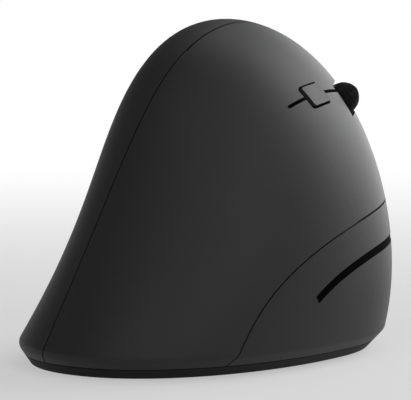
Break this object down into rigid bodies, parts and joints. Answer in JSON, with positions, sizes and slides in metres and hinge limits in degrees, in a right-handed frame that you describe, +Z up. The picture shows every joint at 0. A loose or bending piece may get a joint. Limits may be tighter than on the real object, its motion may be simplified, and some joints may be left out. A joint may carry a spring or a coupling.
{
  "type": "vertical mouse",
  "caption": "Tall right-handed pointing device with a slanted finger side, a thumb side, a scroll wheel between two main buttons and a small button beside it.",
  "frame": {"origin": "on the desk, under the middle of the housing's bounding box", "axes": "+Z up, +Y the way the fingers point, +X the finger side"},
  "size_m": [0.0729, 0.0953, 0.0734],
  "materials": {
    "shell": "fine matt black-grey moulding",
    "panel": "fine matt black-grey moulding",
    "key": "matt black-grey key",
    "inlay": "black strip",
    "tyre_rubber": "black rubber",
    "rim": "black plastic",
    "steel": "plain steel",
    "board": "green board",
    "chip": "black package",
    "switch_case": "black switch case",
    "plunger": "red pin",
    "bracket": "grey frame",
    "lens": "clear lens",
    "nylon": "white plug",
    "lead": "black lead",
    "cell": "plain grey sleeve",
    "contact": "plated spring contact",
    "glide": "dark slick pad"
  },
  "bodies": {
    "housing": {"palm_shell": "shell", "thumb_shell": "shell", "side_panel": "panel", "side_inlay": "inlay", "base_shell": "shell", "board_bracket": "bracket", "button_board": "board", "thumb_board": "board", "main_board": "board", "radio_module": "chip", "optical_sensor": "chip", "sensor_lens": "lens", "power_switch": "switch_case", "board_plugs": "nylon", "button_lead": "lead", "thumb_lead": "lead", "battery_cell": "cell", "battery_spring": "contact", "battery_contact": "contact", "receiver_cap": "key", "receiver_plug": "steel", "glide_feet": "glide", "housing_screws": "steel", "bracket_screws": "steel", "board_screws": "steel", "left_switch": "switch_case", "right_switch": "switch_case", "dpi_switch": "switch_case", "wheel_switch": "switch_case", "back_switch": "switch_case", "forward_switch": "switch_case"},
    "left_button": {"left_button": "shell"},
    "right_button": {"right_button": "shell"},
    "dpi_button": {"dpi_button": "key"},
    "back_button": {"back_button": "key"},
    "forward_button": {"forward_button": "key"},
    "wheel_carrier": {"wheel_carrier": "bracket", "wheel_encoder": "switch_case"},
    "scroll_wheel": {"wheel_rim": "rim", "wheel_tyre": "tyre_rubber", "wheel_axle": "steel"},
    "power_slider": {"power_slider": "key"},
    "battery_door": {"battery_door": "shell"},
    "left_plunger": {"left_plunger": "plunger"},
    "right_plunger": {"right_plunger": "plunger"},
    "dpi_plunger": {"dpi_plunger": "plunger"},
    "wheel_plunger": {"wheel_plunger": "plunger"},
    "back_plunger": {"back_plunger": "plunger"},
    "forward_plunger": {"forward_plunger": "plunger"}
  },
  "joints": [
    {"name": "left_button_press", "type": "hinge", "parent": "housing", "child": "left_button", "pos_m": [0.01682, -0.00621, 0.05968], "axis": [-0.8764, -0.2945, 0.381], "range_deg": [0, 0.7], "stiffness_Nm_per_rad": 1.2},
    {"name": "right_button_press", "type": "hinge", "parent": "housing", "child": "right_button", "pos_m": [0.0295, 0.00118, 0.04317], "axis": [-0.1626, -0.3018, 0.9394], "range_deg": [0, 0.7], "stiffness_Nm_per_rad": 1.2},
    {"name": "dpi_button_press", "type": "slide", "parent": "housing", "child": "dpi_button", "axis": [-0.8427, -0.026, -0.5378], "range_m": [0, 0.0004], "stiffness_N_per_m": 900},
    {"name": "back_button_press", "type": "slide", "parent": "housing", "child": "back_button", "axis": [0.9536, 0, -0.3011], "range_m": [0, 0.0005], "stiffness_N_per_m": 900},
    {"name": "forward_button_press", "type": "slide", "parent": "housing", "child": "forward_button", "axis": [0.9536, 0, -0.3011], "range_m": [0, 0.0005], "stiffness_N_per_m": 900},
    {"name": "wheel_press", "type": "slide", "parent": "housing", "child": "wheel_carrier", "axis": [-0.8427, -0.026, -0.5378], "range_m": [0, 0.0005], "stiffness_N_per_m": 1500},
    {"name": "wheel_spin", "type": "hinge", "parent": "wheel_carrier", "child": "scroll_wheel", "pos_m": [0.01459, 0.02346, 0.05114], "axis": [-0.4998, -0.3335, 0.7993], "continuous": true},
    {"name": "power_slide", "type": "slide", "parent": "housing", "child": "power_slider", "axis": [0, 1, 0], "range_m": [0, 0.003]},
    {"name": "battery_door_swing", "type": "hinge", "parent": "housing", "child": "battery_door", "pos_m": [-0.00353, 0.01502, 0.00155], "axis": [1, 0, 0], "range_deg": [0, 95]},
    {"name": "left_plunger_slide", "type": "slide", "parent": "housing", "child": "left_plunger", "axis": [-0.8427, -0.026, -0.5378], "range_m": [0, 0.0005]},
    {"name": "right_plunger_slide", "type": "slide", "parent": "housing", "child": "right_plunger", "axis": [-0.8427, -0.026, -0.5378], "range_m": [0, 0.0005]},
    {"name": "dpi_plunger_slide", "type": "slide", "parent": "housing", "child": "dpi_plunger", "axis": [-0.8427, -0.026, -0.5378], "range_m": [0, 0.0005]},
    {"name": "wheel_plunger_slide", "type": "slide", "parent": "housing", "child": "wheel_plunger", "axis": [-0.8427, -0.026, -0.5378], "range_m": [0, 0.0006]},
    {"name": "back_plunger_slide", "type": "slide", "parent": "housing", "child": "back_plunger", "axis": [0.9536, 0, -0.3011], "range_m": [0, 0.0006]},
    {"name": "forward_plunger_slide", "type": "slide", "parent": "housing", "child": "forward_plunger", "axis": [0.9536, 0, -0.3011], "range_m": [0, 0.0006]}
  ],
  "couplings": [
    {"joint": "left_plunger_slide", "follows": "left_button_press", "m_per_rad": 0.01843},
    {"joint": "right_plunger_slide", "follows": "right_button_press", "m_per_rad": 0.01765},
    {"joint": "dpi_plunger_slide", "follows": "dpi_button_press", "ratio": 1},
    {"joint": "wheel_plunger_slide", "follows": "wheel_press", "ratio": 1},
    {"joint": "back_plunger_slide", "follows": "back_button_press", "ratio": 1},
    {"joint": "forward_plunger_slide", "follows": "forward_button_press", "ratio": 1}
  ]
}
